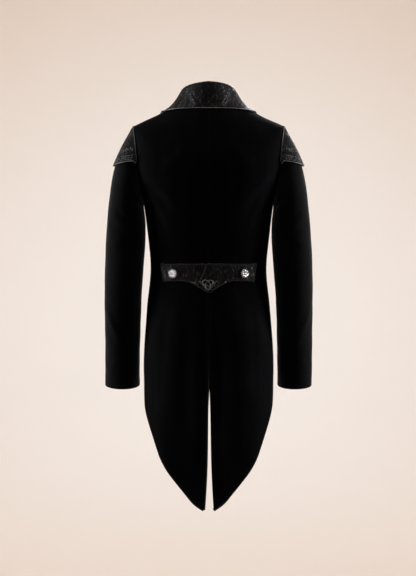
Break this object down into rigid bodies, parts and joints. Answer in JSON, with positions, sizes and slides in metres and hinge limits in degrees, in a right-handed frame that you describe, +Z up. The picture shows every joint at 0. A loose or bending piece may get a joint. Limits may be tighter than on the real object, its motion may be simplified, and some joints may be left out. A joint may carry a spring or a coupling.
{
  "type": "tailcoat",
  "caption": "Worn-form tailcoat with turned-down brocade collar, shoulder caps, two-piece sleeves, corded half belt with knot and rosette buttons, and cutaway tails.",
  "frame": {"origin": "midway between the two points where the shoulder seams meet the neck, where the wearer holds the coat up", "axes": "+Z up, -Y the front of the wearer, +X the wearer's left"},
  "size_m": [0.5332, 0.2534, 1.0759],
  "materials": {
    "coat_cloth": "near-black velvet-like pile",
    "black_brocade": "glossy raised motif on a duller ground",
    "satin_cord": "twisted satin",
    "antique_silver": "antique silver with dark recesses"
  },
  "bodies": {
    "root": {"back_left": "coat_cloth", "back_right": "coat_cloth", "front_left": "coat_cloth", "front_right": "coat_cloth", "top_sleeve_left": "coat_cloth", "top_sleeve_right": "coat_cloth", "under_sleeve_left": "coat_cloth", "under_sleeve_right": "coat_cloth", "collar": "black_brocade", "shoulder_cap_left": "black_brocade", "shoulder_cap_right": "black_brocade", "half_belt_left": "black_brocade", "half_belt_right": "black_brocade", "armhole_cord_left": "satin_cord", "armhole_cord_right": "satin_cord", "cap_edge_cord_left": "satin_cord", "cap_edge_cord_right": "satin_cord", "collar_cord": "satin_cord", "belt_cord_left": "satin_cord", "belt_cord_right": "satin_cord", "belt_knot": "satin_cord", "belt_button_left": "antique_silver", "belt_button_right": "antique_silver", "front_button_1": "antique_silver", "front_button_2": "antique_silver", "front_button_3": "antique_silver"}
  },
  "joints": []
}
